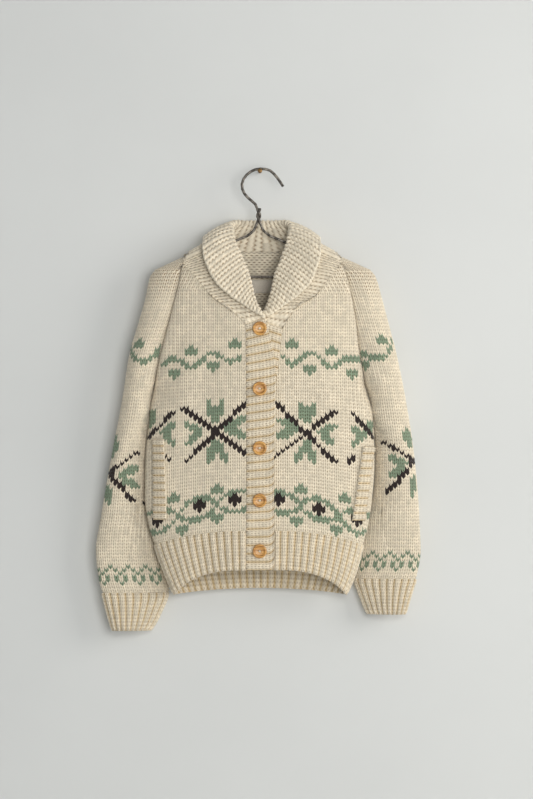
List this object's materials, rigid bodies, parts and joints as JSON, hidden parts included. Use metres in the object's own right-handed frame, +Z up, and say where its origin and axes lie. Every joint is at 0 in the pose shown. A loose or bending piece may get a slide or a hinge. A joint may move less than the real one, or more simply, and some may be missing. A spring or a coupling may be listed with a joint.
{
  "type": "shawl-collar cardigan on wire hanger",
  "caption": "Chunky knitted child's raglan cardigan with a garter-stitch shawl collar, leaf and flower colourwork and round buttons, on a wire hanger and its nail.",
  "frame": {"origin": "where the hanger's hook rests on top of the wall nail", "axes": "+Z up, -Y towards the garment's front, +X towards the wearer's left"},
  "size_m": [0.4859, 0.1001, 0.6958],
  "materials": {
    "cream_wool": "hand-knitted wool, matt",
    "ochre_button": "satin",
    "dark_wire": "dark, dull",
    "old_brass": "aged",
    "blank_tape": "woven tape, blank"
  },
  "bodies": {
    "root": {"front_right": "cream_wool", "front_left": "cream_wool", "back": "cream_wool", "sleeve_right": "cream_wool", "sleeve_left": "cream_wool", "cuff_right": "cream_wool", "cuff_left": "cream_wool", "hem_front_right": "cream_wool", "hem_front_left": "cream_wool", "hem_back": "cream_wool", "collar": "cream_wool", "buttonhole_band": "cream_wool", "button_band": "cream_wool", "pocket_edge_right": "cream_wool", "pocket_edge_left": "cream_wool", "button_1": "ochre_button", "button_2": "ochre_button", "button_3": "ochre_button", "button_4": "ochre_button", "button_5": "ochre_button", "neck_label": "blank_tape", "hanger": "dark_wire", "wall_nail": "old_brass"}
  },
  "joints": []
}
